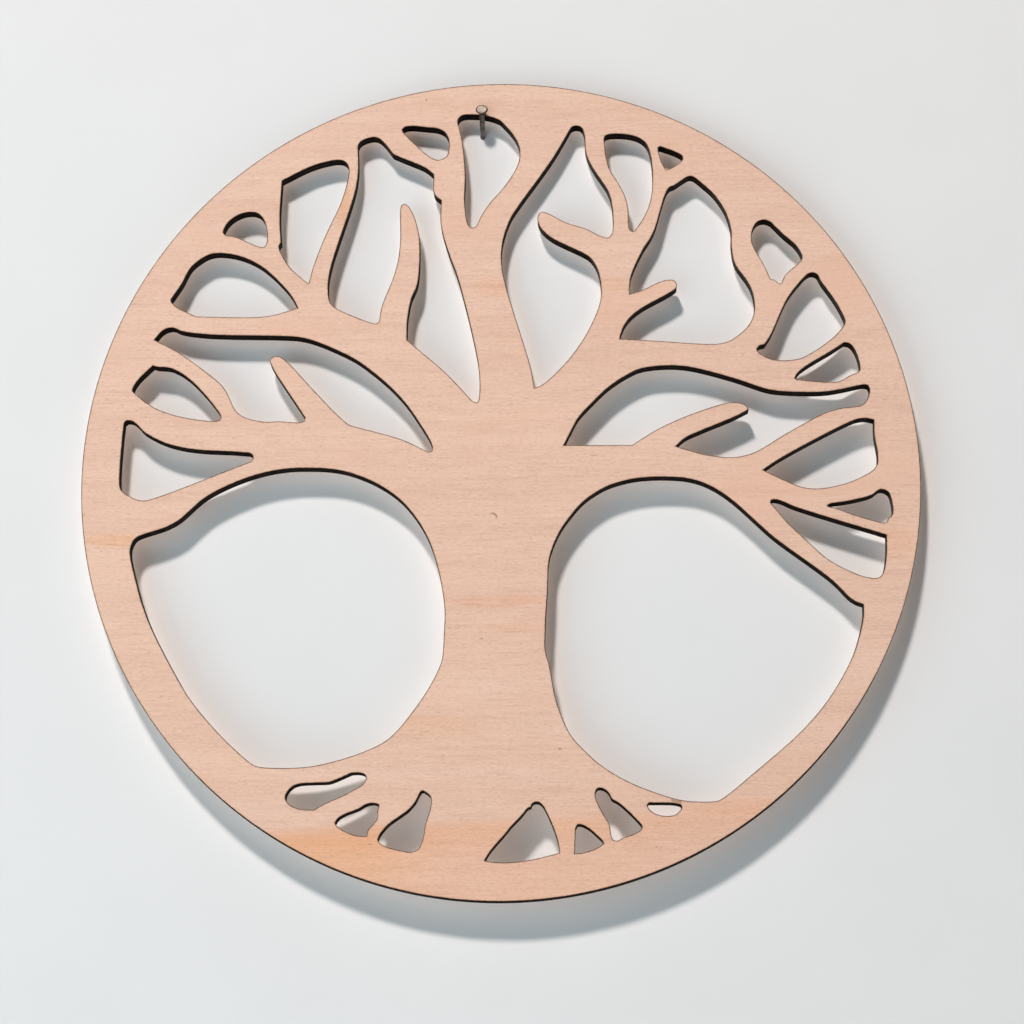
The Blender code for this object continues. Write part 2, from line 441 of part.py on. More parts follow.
def nail():
    """Head, shank and four-sided point as one body. Local +Y runs along the nail into the wall."""
    top = -NAIL_OUTSIDE
    under = top + HEAD_THICK
    tip = NAIL_LENGTH - NAIL_OUTSIDE
    mesh = bmesh.new()
    rings = [
        nail_ring(mesh, top, 0.62 * HEAD_RADIUS),
        nail_ring(mesh, top + 0.07 * HEAD_THICK, 0.86 * HEAD_RADIUS),
        nail_ring(mesh, top + 0.22 * HEAD_THICK, 0.97 * HEAD_RADIUS),
        nail_ring(mesh, top + 0.38 * HEAD_THICK, HEAD_RADIUS),
        nail_ring(mesh, top + 0.56 * HEAD_THICK, 0.97 * HEAD_RADIUS),
        nail_ring(mesh, under, 0.62 * HEAD_RADIUS),
        nail_ring(mesh, under + 0.3 * HEAD_THICK, SHANK_RADIUS),
        nail_ring(mesh, tip - POINT_LENGTH, SHANK_RADIUS),
        nail_ring(mesh, tip - 0.72 * POINT_LENGTH, 0.93 * SHANK_RADIUS, 0.8),
        nail_ring(mesh, tip - 0.05 * POINT_LENGTH, 0.12 * SHANK_RADIUS, 1.0),
    ]
    for near, far in zip(rings, rings[1:]):
        for i in range(NAIL_SIDES):
            j = (i + 1) % NAIL_SIDES
            mesh.faces.new((near[i], near[j], far[j], far[i]))
    for ring, end in ((rings[0], top - 0.03 * HEAD_THICK), (rings[-1], tip)):
        centre = mesh.verts.new((0.0, end, 0.0))
        for i in range(NAIL_SIDES):
            mesh.faces.new((ring[i], ring[(i + 1) % NAIL_SIDES], centre))
    bmesh.ops.recalc_face_normals(mesh, faces=mesh.faces)
    for face in mesh.faces:
        face.smooth = True
    data = bpy.data.meshes.new("hanging_nail")
    mesh.to_mesh(data)
    mesh.free()
    data.materials.append(steel("nail_steel"))
    body = bpy.data.objects.new("hanging_nail", data)
    body.matrix_world = Matrix.Rotation(-NAIL_RISE, 4, "X")
    bpy.context.scene.collection.objects.link(body)


clear_scene()
plywood()
nail()
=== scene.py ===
"""Looks for the tree of life wall disc: five charred veneers and a wire nail."""

import math

import bmesh
import bpy
import numpy as np
from mathutils import Matrix, Vector
from mathutils.geometry import delaunay_2d_cdt


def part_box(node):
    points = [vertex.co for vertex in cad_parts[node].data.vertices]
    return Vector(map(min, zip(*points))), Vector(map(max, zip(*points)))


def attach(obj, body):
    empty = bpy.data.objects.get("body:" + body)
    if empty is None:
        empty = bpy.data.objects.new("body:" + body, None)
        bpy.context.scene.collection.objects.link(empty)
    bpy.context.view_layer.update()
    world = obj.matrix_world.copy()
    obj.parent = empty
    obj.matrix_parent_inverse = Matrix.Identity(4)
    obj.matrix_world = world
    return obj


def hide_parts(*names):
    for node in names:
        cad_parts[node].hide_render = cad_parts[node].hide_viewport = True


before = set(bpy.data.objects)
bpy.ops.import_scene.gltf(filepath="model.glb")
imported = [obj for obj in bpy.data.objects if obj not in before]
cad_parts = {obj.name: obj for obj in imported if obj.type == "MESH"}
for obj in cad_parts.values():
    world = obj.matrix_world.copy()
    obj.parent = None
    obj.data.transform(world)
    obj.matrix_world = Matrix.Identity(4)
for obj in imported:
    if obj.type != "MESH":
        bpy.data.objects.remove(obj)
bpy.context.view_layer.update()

MM = 0.001

# Outlines, in mm unless said
STEP = 1.3                            # longest step along a cut
GRID = 5.0                            # spacing of the loose points inside a face
OFF_CUT = 2.4                         # how far the grid's points stay off a cut
RIM_STEPS = 720
CORNER = math.radians(50)             # a sharper turn than this is a corner
LONG_SIDE = 5.0
CORNER_BY_LONG_SIDE = math.radians(24)
STEP_TURN = 13                        # degrees that the curve turns in one step
MOST_STEPS = 10
LEAST_LEAN = 0.45                     # keeps an inset point near its corner

# Veneers, in mm unless said
ARRIS = 0.26                          # width of the burnt edge on the outer faces
ARRIS_DEPTH = 0.12
HALO = 1.1                            # how far the smoke stain reaches in from a cut
FARTHEST = 4.0                        # cut_mm says no more than this
SHARP_ON_WOOD = math.radians(38)      # a sharper edge than this is shaded sharp

# Nail, in mm unless said
NAIL_SIDES = 64
POINT_LENGTH = 3.6
GRIP = (2.4, 6.9)                     # from the head's top, where the grip marks begin and end
GRIP_PITCH = 0.9
GRIP_DEPTH = 0.085
SEAM = (0.9, 5.0)                     # where the die's seam stands proud
SEAM_HEIGHT = 0.02
HEAD_WOBBLE = 0.012
FINE_UNTIL = 7.4                      # from the head's top, where the rows get further apart
FINE_ROW = 0.12
COARSE_ROW = 1.1
SHARP_ON_STEEL = math.radians(35)

# Wood colours, linear
PALE = (0.743, 0.539, 0.432)
MID = (0.706, 0.495, 0.390)
DEEP = (0.545, 0.360, 0.270)
LIGHT = (0.813, 0.632, 0.530)
STAINED = (0.742, 0.472, 0.356)
PORE = (0.33, 0.20, 0.145)
FLECK = (0.33, 0.20, 0.14)
KNOT = (0.26, 0.17, 0.125)
SMOKE = (0.50, 0.29, 0.17)
SCORCH = (0.155, 0.072, 0.036)
SOOT = (0.0036, 0.0027, 0.0023)
TOASTED = (0.027, 0.0145, 0.0088)

# Steel colours, linear
SKIN = (0.200, 0.185, 0.170)
DARK_SKIN = (0.095, 0.082, 0.070)
DRAWN = (0.330, 0.315, 0.295)
# The next two colours are the head's face: rubbed bright, and partly a painted highlight.
RUBBED_FACE_AND_HIGHLIGHT = (0.660, 0.620, 0.550)
DULL = (0.420, 0.370, 0.305)
# Painted shade on the side of the head's rim.
PAINTED_RIM_SHADE = (0.050, 0.042, 0.036)
PIT = (0.085, 0.055, 0.036)

# The face's soft stains: place and half size in mm from the disc's centre, tint, strength
STAINS = (
    ((-138.0, -21.0), (14.0, 4.0), (0.99, 0.87, 0.74), 1.0),
    ((-2.0, -43.5), (24.0, 2.8), (0.99, 0.89, 0.82), 0.9),
    ((4.0, -53.0), (20.0, 2.0), (0.99, 0.90, 0.84), 0.7),
    ((-1.0, 72.0), (13.0, 5.0), (0.99, 0.90, 0.83), 0.9),
    ((-57.0, 103.0), (4.0, 12.0), (0.98, 0.87, 0.74), 0.9),
    ((-22.0, -89.0), (24.0, 5.0), (1.00, 0.93, 0.86), 0.8),
    ((84.0, -117.0), (30.0, 4.0), (1.00, 0.90, 0.80), 0.8),
    ((140.0, -22.0), (9.0, 9.0), (0.99, 0.90, 0.82), 0.9),
    ((40.0, 73.0), (14.0, 3.5), (0.96, 0.90, 0.84), 0.8),
    ((-80.0, 67.0), (16.0, 3.0), (0.99, 0.92, 0.86), 0.6),
    ((20.0, 20.0), (60.0, 9.0), (1.03, 1.03, 1.03), 0.8),
    ((-30.0, -70.0), (50.0, 14.0), (1.03, 1.04, 1.04), 0.8),
)

# The face's dark flecks: place and half size in mm from the disc's centre, strength
FLECKS = (
    ((-6.4, -57.0), (0.9, 0.45), 0.5),
    ((21.3, -96.4), (0.8, 0.55), 0.6),
    ((55.0, -131.0), (0.6, 0.4), 0.6),
    ((-45.0, -130.0), (1.5, 0.35), 0.45),
    ((33.5, 9.6), (1.6, 0.4), 0.4),
    ((-27.5, 144.0), (0.5, 1.0), 0.45),
    ((-127.5, 24.3), (0.6, 0.35), 0.5),
    ((-25.5, -90.2), (1.6, 0.3), 0.35),
)

# The pin knot on the trunk, in mm from the disc's centre
KNOT_AT = (-2.9, -13.3)
KNOT_RADIUS = 1.75

# Stage, in metres unless said
WALL_LEAN = math.radians(1.64)
WALL_Y = 0.0016
WALL_SIZE = 3.6
FLOOR_SIZE = 30.0
FLOOR_Z = -1.8
WALL_PAINT = (0.72, 0.77, 0.80)
FLOOR_PAINT = (0.76, 0.78, 0.79)
SEEN_ROOM = (0.72, 0.76, 0.79, 1.0)
ROOM_LIGHT = (0.95, 0.97, 1.0, 1.0)

# Camera, in metres unless said
CAMERA_PLACE = (0.039, -1.223, -0.424)
CAMERA_LOOK = Vector((-0.0222, 0.9743, 0.2240))
CAMERA_RIGHT = Vector((0.9998, 0.0222, 0.0025))
LENS = 123.05                         # mm, for a sensor 36 mm wide

# Lights: name, place from the disc's centre, diameter, watts, colour
LIGHTS = (
    ("key", Vector((-0.5292, -2.478, 1.5904)), 0.33, 78.0, (1.0, 0.86, 0.79)),
    ("window_light", Vector((-0.84, -1.04, -0.44)), 1.5, 8.6, (0.76, 0.94, 1.0)),
    ("behind", Vector((-0.9, 1.8, 1.0)), 0.9, 34.0, (1.0, 0.97, 0.93)),
    ("behind_fill", Vector((1.4, 1.2, 0.1)), 1.2, 12.0, (0.85, 0.93, 1.0)),
)

low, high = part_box("face_veneer")
CENTRE = Vector(((low.x + high.x) / 2, 0.0, (low.z + high.z) / 2))
RADIUS = (high.x - low.x) / 2 / MM


# Outlines

def cut_rings(node):
    """The rim and windows of a veneer's front face, in mm from its centre, wood on the left."""
    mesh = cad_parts[node].data
    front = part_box(node)[0].y
    place = {}
    sides = set()
    for face in mesh.polygons:
        spots = [mesh.vertices[i].co for i in face.vertices]
        if max(abs(spot.y - front) for spot in spots) > 2e-6:
            continue
        keys = []
        for spot in spots:
            key = (round(spot.x * 1e6), round(spot.z * 1e6))
            place[key] = ((spot.x - CENTRE.x) / MM, (spot.z - CENTRE.z) / MM)
            keys.append(key)
        sides.update(zip(keys, keys[1:] + keys[:1]))
    onward = {a: b for a, b in sides if (b, a) not in sides}
    rings = []
    while onward:
        start = min(onward)
        ring = [start]
        step = onward.pop(start)
        while step != start:
            ring.append(step)
            step = onward.pop(step)
        rings.append(np.array([place[key] for key in ring]))
    return sorted(rings, key=lambda ring: -np.ptp(ring[:, 0]))


def turns(ring):
    """The turn at each point of a closed ring, in radians, left positive."""
    into = ring - np.roll(ring, 1, 0)
    out = np.roll(ring, -1, 0) - ring
    cross = into[:, 0] * out[:, 1] - into[:, 1] * out[:, 0]
    return np.arctan2(cross, (into * out).sum(1))


def smoothed(ring):
    """A closed curve through the ring. Sharp turns and turns off a long side stay corners."""
    bend = turns(ring)
    out = np.roll(ring, -1, 0) - ring
    length = np.linalg.norm(out, axis=1)
    beside_long = np.maximum(length, np.roll(length, 1)) > LONG_SIDE
    sharp = np.abs(bend) > np.where(beside_long, CORNER_BY_LONG_SIDE, CORNER)
    pace = np.sqrt(length)[:, None]
    chord = out / pace
    before = np.roll(chord, 1, 0)
    pace_before = np.roll(pace, 1, 0)
    wide = np.roll(ring, -1, 0) - np.roll(ring, 1, 0)
    slope = chord + before - wide / (pace + pace_before)
    leave = np.where(sharp[:, None], chord, slope) * pace
    arrive = np.roll(np.where(sharp[:, None], before, slope), -1, 0) * pace
    ends = np.roll(ring, -1, 0)
    turning = np.where(sharp, 0.0, np.abs(bend))
    curve = []
    for i in range(len(ring)):
        swing = math.degrees(turning[i] + turning[(i + 1) % len(ring)])
        for_turn = min(MOST_STEPS, math.ceil(swing / STEP_TURN))
        steps = max(1, math.ceil(length[i] / STEP), for_turn)
        t = (np.arange(steps) / steps)[:, None]
        curve.append(
            ring[i] * (2 * t**3 - 3 * t**2 + 1)
            + leave[i] * (t**3 - 2 * t**2 + t)
            + ends[i] * (3 * t**2 - 2 * t**3)
            + arrive[i] * (t**3 - t**2)
        )
    return np.concatenate(curve)


def circle(radius, steps):
    turn = 2 * np.pi * np.arange(steps) / steps
    return np.stack([np.cos(turn), np.sin(turn)], 1) * radius


def inset(ring, width):
    """The ring moved to its left, into the wood, by up to width."""
    into = ring - np.roll(ring, 1, 0)
    out = np.roll(ring, -1, 0) - ring
    long_in = np.linalg.norm(into, axis=1)
    long_out = np.linalg.norm(out, axis=1)
    left_in = np.stack([-into[:, 1], into[:, 0]], 1) / long_in[:, None]
    left_out = np.stack([-out[:, 1], out[:, 0]], 1) / long_out[:, None]
    middle = left_in + left_out
    middle /= np.maximum(np.linalg.norm(middle, axis=1), 1e-9)[:, None]
    lean = np.maximum((middle * left_in).sum(1), LEAST_LEAN)
    half_turn = np.maximum(turns(ring), 0) / 2
    room = 0.45 * np.minimum(long_in, long_out) / np.maximum(np.tan(half_turn), 1e-6)
    reach = np.minimum(width, np.maximum(room, 0.02)) / lean
    return ring + middle * reach[:, None]


def off_cut(points, rings):
    """Distance from each point to the nearest cut, in mm."""
    starts = np.concatenate(rings)
    sides = np.concatenate([np.roll(ring, -1, 0) - ring for ring in rings])
    square = (sides**2).sum(1)
    near = []
    for block in np.array_split(points, max(1, len(points) // 400)):
        away = block[:, None, :] - starts[None]
        share = np.clip((away * sides).sum(2) / square, 0, 1)
        near.append(np.linalg.norm(away - share[..., None] * sides, axis=2).min(1))
    return np.concatenate(near)


def in_wood(points, rings):
    """Whether each point is inside the rim and outside every window."""
    crossings = np.zeros(len(points), int)
    for ring in rings:
        x0, z0 = ring.T
        x1, z1 = np.roll(ring, -1, 0).T
        for block in np.array_split(np.arange(len(points)), max(1, len(points) // 2000)):
            x = points[block, 0:1]
            z = points[block, 1:2]
            spans = (z0 > z) != (z1 > z)
            rise = np.where(z1 == z0, 1.0, z1 - z0)
            crossings[block] += (spans & (x < x0 + (z - z0) * (x1 - x0) / rise)).sum(1)
    return crossings % 2 == 1


def loose_points(rings):
    """Points inside the wood: a row along each cut at the smoke stain's end, then an even grid."""
    beside = np.concatenate([inset(ring[::2], HALO) for ring in rings])
    beside = beside[in_wood(beside, rings)]
    beside = beside[off_cut(beside, rings) > 0.85 * HALO]
    span = np.arange(-RADIUS, RADIUS, GRID)
    rows = []
    for i, z in enumerate(span):
        rows.append(np.stack([span + (GRID / 2) * (i % 2), np.full(len(span), z)], 1))
    grid = np.concatenate(rows)
    grid = grid[in_wood(grid, rings)]
    grid = grid[off_cut(grid, rings) > OFF_CUT]
    return np.concatenate([beside, grid])


def face_triangles(rings, loose):
    """The points, and the triangles over the wood between the rings, front side out."""
    points = np.concatenate(list(rings) + [loose])
    edges = []
    first = 0
    for ring in rings:
        count = len(ring)
        edges += [(first + i, first + (i + 1) % count) for i in range(count)]
        first += count
    made = delaunay_2d_cdt([Vector(p) for p in points], edges, [], 1, 1e-6, True)
    spots = np.array([tuple(p) for p in made[0]])
    source = [group[0] for group in made[3]]
    corners = np.array(made[2])
    middle = spots[corners].mean(1)
    corners = corners[in_wood(middle, rings)]
    flat = spots[corners]
    a = flat[:, 1] - flat[:, 0]
    b = flat[:, 2] - flat[:, 0]
    clockwise = a[:, 0] * b[:, 1] - a[:, 1] * b[:, 0] < 0
    corners[clockwise] = corners[clockwise][:, ::-1]
    return points, [[source[i] for i in face] for face in corners]


# Veneers

def veneer(name, node, rings, recess, arris_front, arris_back, loose):
    """One veneer with charred walls. An outer face has a worn, burnt edge."""
    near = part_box(node)[0].y / MM
    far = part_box(node)[1].y / MM
    cut = [inset(ring, recess) if recess else ring for ring in rings]
    worn = [inset(ring, ARRIS) for ring in cut]
    half_worn = [inset(ring, 0.4 * ARRIS) for ring in cut]
    half_depth = 0.22 * ARRIS_DEPTH
    # Each level is rings, depth and distance from the cut, from the front face to the back face
    levels = [(cut, near, 0.0)]
    if arris_front:
        levels = [
            (worn, near, ARRIS),
            (half_worn, near + half_depth, 0.4 * ARRIS),
            (cut, near + ARRIS_DEPTH, 0.0),
        ]
    levels.append((cut, (near + far) / 2, 0.0))
    if arris_back:
        levels += [
            (cut, far - ARRIS_DEPTH, 0.0),
            (half_worn, far - half_depth, 0.4 * ARRIS),
            (worn, far, ARRIS),
        ]
    else:
        levels.append((cut, far, 0.0))
    spots = []
    stain = []
    for rows, depth, away in levels:
        flat = np.concatenate(rows)
        spots.append(np.stack([flat[:, 0], np.full(len(flat), depth), flat[:, 1]], 1))
        stain.append(np.full(len(flat), away))
    per_level = len(spots[0])
    faces = []
    first = 0
    for ring in rings:
        count = len(ring)
        for level in range(len(levels) - 1):
            here = first + level * per_level
            for i in range(count):
                j = (i + 1) % count
                faces.append((here + i, here + per_level + i, here + per_level + j, here + j))
        first += count
    total = per_level * len(levels)
    for depth, rows, base, flip, wide in (
        (near, levels[0][0], 0, False, arris_front),
        (far, levels[-1][0], per_level * (len(levels) - 1), True, arris_back),
    ):
        inner = loose if wide else np.zeros((0, 2))
        points, triangles = face_triangles(rows, inner)
        added = points[per_level:]
        spots.append(np.stack([added[:, 0], np.full(len(added), depth), added[:, 1]], 1))
        stain.append(np.minimum(off_cut(added, rings), FARTHEST) if len(added) else np.zeros(0))
        for face in triangles:
            corners = [base + i if i < per_level else total + i - per_level for i in face]
            faces.append(corners[::-1] if flip else corners)
        total += len(added)
    spots = np.concatenate(spots) * MM + np.array([CENTRE.x, 0.0, CENTRE.z])
    data = bpy.data.meshes.new(name)
    data.from_pydata(spots.tolist(), [], faces)
    cut_mm = data.attributes.new("cut_mm", "FLOAT", "POINT")
    cut_mm.data.foreach_set("value", np.concatenate(stain))
    wall_faces = (len(levels) - 1) * per_level
    data.polygons.foreach_set("use_smooth", [i < wall_faces for i in range(len(data.polygons))])
    data.update()
    data.validate()
    piece = bpy.data.objects.new(name, data)
    bpy.context.scene.collection.objects.link(piece)
    work = bmesh.new()
    work.from_mesh(data)
    for edge in work.edges:
        if len(edge.link_faces) == 2 and edge.calc_face_angle(0.0) > SHARP_ON_WOOD:
            edge.smooth = False
    work.to_mesh(data)
    work.free()
    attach(piece, "disc")
    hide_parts(node)
    return piece


# Nail

def nail(name, node):
    """A drawn wire nail on the CAD nail's axis: upset head, grip marks, four-sided point."""
    spots = [v.co.copy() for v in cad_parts[node].data.vertices]
    tip = max(spots, key=lambda spot: spot.y)
    axis = tip.normalized()
    inside = tip.length / MM
    outside = max(-spot.dot(axis) for spot in spots) / MM
    off_axis = [(spot - axis * spot.dot(axis)).length / MM for spot in spots]
    head = max(off_axis)
    shank = max(r for r, spot in zip(off_axis, spots) if spot.dot(axis) / MM > 0.5 * inside)
    end = outside + inside
    # Each row is the distance from the head's top, the radius, and how square the wire is there
    of_head = (
        (0.05, 0.10), (0.04, 0.45), (0.015, 0.72), (0.00, 0.86), (0.03, 0.92), (0.09, 0.965),
        (0.18, 0.99), (0.32, 1.00), (0.50, 0.995), (0.62, 0.965), (0.70, 0.90), (0.76, 0.78),
        (0.84, 0.62),
    )
    profile = [(along, share * head, 0) for along, share in of_head]
    profile += [(0.98, shank * 1.10, 0), (1.20, shank, 0)]
    along = 1.5
    while along < end - POINT_LENGTH:
        profile.append((along, shank, 0))
        along += FINE_ROW if along < FINE_UNTIL else COARSE_ROW
    of_point = (
        (POINT_LENGTH, 1.0, 0.0), (3.30, 0.995, 0.35), (2.95, 0.975, 0.75),
        (2.59, 0.93, 0.9), (1.4, 0.52, 1.0), (0.18, 0.12, 1.0),
    )
    profile += [(end - before, share * shank, square) for before, share, square in of_point]
    side = axis.orthogonal().normalized()
    other = axis.cross(side)
    mesh = bmesh.new()
    rings = []
    for along, radius, square in profile:
        ring = []
        for i in range(NAIL_SIDES):
            turn = 2 * math.pi * i / NAIL_SIDES
            to_flat = math.cos((turn + math.pi / 4) % (math.pi / 2) - math.pi / 4)
            reach = radius * (1 - square + square * math.cos(math.pi / 4) / to_flat)
            if GRIP[0] < along < GRIP[1]:
                groove = max(0.0, math.sin((along - GRIP[0]) / GRIP_PITCH * 2 * math.pi)) ** 2
                reach -= GRIP_DEPTH * groove * abs(math.cos(turn)) ** 5
            if SEAM[0] < along < SEAM[1] and abs(math.sin(turn)) >= 0.985:
                reach += SEAM_HEIGHT
            if along < 0.6:
                reach -= HEAD_WOBBLE * math.sin(3 * turn + 1.0) * (radius / head) ** 2
            middle = axis * ((along - outside) * MM)
            spot = middle + (side * math.cos(turn) + other * math.sin(turn)) * (reach * MM)
            ring.append(mesh.verts.new(spot))
        rings.append(ring)
    for near, far in zip(rings, rings[1:]):
        for i in range(NAIL_SIDES):
            j = (i + 1) % NAIL_SIDES
            mesh.faces.new((near[i], near[j], far[j], far[i]))
    for ring, place in ((rings[0], 0.055 - outside), (rings[-1], inside)):
        centre = mesh.verts.new(axis * (place * MM))
        for i in range(NAIL_SIDES):
            mesh.faces.new((ring[i], ring[(i + 1) % NAIL_SIDES], centre))
    bmesh.ops.recalc_face_normals(mesh, faces=mesh.faces)
    for face in mesh.faces:
        face.smooth = True
    for edge in mesh.edges:
        if len(edge.link_faces) == 2 and edge.calc_face_angle(0.0) > SHARP_ON_STEEL:
            edge.smooth = False
    data = bpy.data.meshes.new(name)
    mesh.to_mesh(data)
    mesh.free()
    spots = [v.co for v in data.vertices]
    down = [outside + spot.dot(axis) / MM for spot in spots]
    away = [(spot - axis * spot.dot(axis)).length / MM / head for spot in spots]
    for label, values in (("below_top_mm", down), ("off_axis", away)):
        data.attributes.new(label, "FLOAT", "POINT").data.foreach_set("value", values)
    piece = bpy.data.objects.new(name, data)
    bpy.context.scene.collection.objects.link(piece)
    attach(piece, "nail")
    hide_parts(node)
    return piece


# Materials

class Graph:
    """A material's nodes, with short calls for the few kinds used here."""

    def __init__(self, name):
        self.material = bpy.data.materials.new(name)
        self.material.use_nodes = True
        self.tree = self.material.node_tree
        self.shader = self.tree.nodes["Principled BSDF"]

    def put(self, socket, value):
        if isinstance(value, bpy.types.NodeSocket):
            self.tree.links.new(value, socket)
        else:
            socket.default_value = value

    def node(self, kind, **inputs):
        made = self.tree.nodes.new(kind)
        for key, value in inputs.items():
            self.put(made.inputs[key.replace("_", " ")], value)
        return made

    def math(self, what, a, b=0.0, c=0.0, clamp=False):
        made = self.tree.nodes.new("ShaderNodeMath")
        made.operation = what
        made.use_clamp = clamp
        for socket, value in zip(made.inputs, (a, b, c)):
            self.put(socket, value)
        return made.outputs[0]

    def mapped(self, value, low, high, to_low=0.0, to_high=1.0, smooth=True):
        made = self.tree.nodes.new("ShaderNodeMapRange")
        made.interpolation_type = "SMOOTHSTEP" if smooth else "LINEAR"
        for socket, part in zip(made.inputs, (value, low, high, to_low, to_high)):
            self.put(socket, part)
        return made.outputs[0]

    def placed(self, vector, shift=(0, 0, 0), scale=(1, 1, 1)):
        made = self.tree.nodes.new("ShaderNodeMapping")
        self.put(made.inputs["Vector"], vector)
        made.inputs["Location"].default_value = shift
        made.inputs["Scale"].default_value = scale
        return made.outputs[0]

    def noise(self, vector, scale=1.0, detail=2.0, roughness=0.5):
        made = self.node("ShaderNodeTexNoise", Vector=vector, Scale=scale, Detail=detail)
        made.inputs["Roughness"].default_value = roughness
        return made.outputs[0]

    def grain(self, vector, scale, detail=3.0, roughness=0.5):
        """Noise stretched by a scale for each axis."""
        return self.noise(self.placed(vector, scale=scale), 1.0, detail, roughness)

    def mix(self, share, a, b, how="MIX"):
        made = self.tree.nodes.new("ShaderNodeMix")
        made.data_type = "RGBA"
        made.blend_type = how
        self.put(made.inputs[0], share)
        self.put(made.inputs[6], a if isinstance(a, bpy.types.NodeSocket) else (*a, 1.0))
        self.put(made.inputs[7], b if isinstance(b, bpy.types.NodeSocket) else (*b, 1.0))
        return made.outputs[2]

    def split(self, vector):
        made = self.node("ShaderNodeSeparateXYZ", Vector=vector)
        return made.outputs[0], made.outputs[1], made.outputs[2]

    def join(self, x, y, z):
        made = self.tree.nodes.new("ShaderNodeCombineXYZ")
        for socket, value in zip(made.inputs, (x, y, z)):
            self.put(socket, value)
        return made.outputs[0]

    def bump(self, height, strength, distance, normal=None):
        made = self.node("ShaderNodeBump", Height=height, Strength=strength, Distance=distance)
        if normal is not None:
            self.put(made.inputs["Normal"], normal)
        return made.outputs[0]

    def finish(self, colour, roughness, normal):
        self.put(self.shader.inputs["Base Color"], colour)
        self.put(self.shader.inputs["Roughness"], roughness)
        self.put(self.shader.inputs["Normal"], normal)
        return self.material


def in_mm(graph, origin=(0.0, 0.0, 0.0)):
    """The piece's own coordinates, in mm from the origin."""
    own = graph.node("ShaderNodeTexCoord").outputs["Object"]
    return graph.placed(own, tuple(-c / MM for c in origin), (1 / MM, 1 / MM, 1 / MM))


def attribute(graph, label):
    made = graph.node("ShaderNodeAttribute")
    made.attribute_name = label
    return made.outputs["Fac"]


def tinted(colour, tone):
    return tuple(c * k for c, k in zip(colour, tone))


def spot_mask(graph, x, z, at, size, edge=0.5):
    """1 inside an ellipse, falling to 0 at its border."""
    across = graph.math("DIVIDE", graph.math("SUBTRACT", x, at[0]), size[0])
    up = graph.math("DIVIDE", graph.math("SUBTRACT", z, at[1]), size[1])
    square = graph.math("MULTIPLY_ADD", across, across, graph.math("MULTIPLY", up, up))
    return graph.mapped(square, edge, 1.0, 1.0, 0.0)


def charred(graph, place, tone):
    """Colour and height of a laser-burnt wall: fine streaks across the sheet, soot in patches."""
    across = graph.placed(place, scale=(1.0, 0.03, 1.0))
    streak = graph.noise(across, 2.6, 3.0, 0.6)
    broad = graph.noise(across, 0.35, 2.0, 0.5)
    fine = graph.noise(place, 6.0, 2.0, 0.6)
    burn = graph.math("MULTIPLY_ADD", broad, 0.5, graph.math("MULTIPLY", streak, 0.6))
    burn = graph.mapped(burn, 0.38, 0.74)
    colour = graph.mix(burn, tinted(SOOT, [tone] * 3), tinted(TOASTED, [tone] * 3))
    height = graph.math("MULTIPLY_ADD", streak, 0.8, graph.math("MULTIPLY", fine, 0.25))
    return colour, height


def grain_noises(graph, place, seed, figure):
    """Noises stretched along the grain, from the broadest to the finest, and blotches."""
    moved = graph.placed(place, (seed * 31.7, seed * 11.3, seed * 17.9))
    wander = graph.grain(moved, (0.012, 0.012, 0.012), 2.0)
    ripple = graph.grain(moved, (0.05, 0.05, 0.09), 2.0)
    lift = graph.math("MULTIPLY", ripple, 2.4 * figure)
    lift = graph.math("MULTIPLY_ADD", wander, 26.0 * figure, lift)
    x, y, z = graph.split(moved)
    along = graph.join(x, y, graph.math("ADD", z, lift))
    bands = graph.grain(along, (0.0045, 0.02, 0.10), 3.0, 0.55)
    lines = graph.grain(along, (0.022, 0.1, 0.55), 3.0, 0.6)
    fine = graph.grain(along, (0.11, 0.6, 1.45), 3.0, 0.62)
    dashes = graph.grain(along, (0.55, 1.2, 2.5), 2.0, 0.55)
    pores = graph.mapped(graph.grain(along, (0.62, 1.3, 3.1), 1.0, 0.4), 0.64, 0.78)
    blotch = graph.grain(moved, (0.014, 0.03, 0.030))
    return bands, lines, fine, dashes, pores, blotch


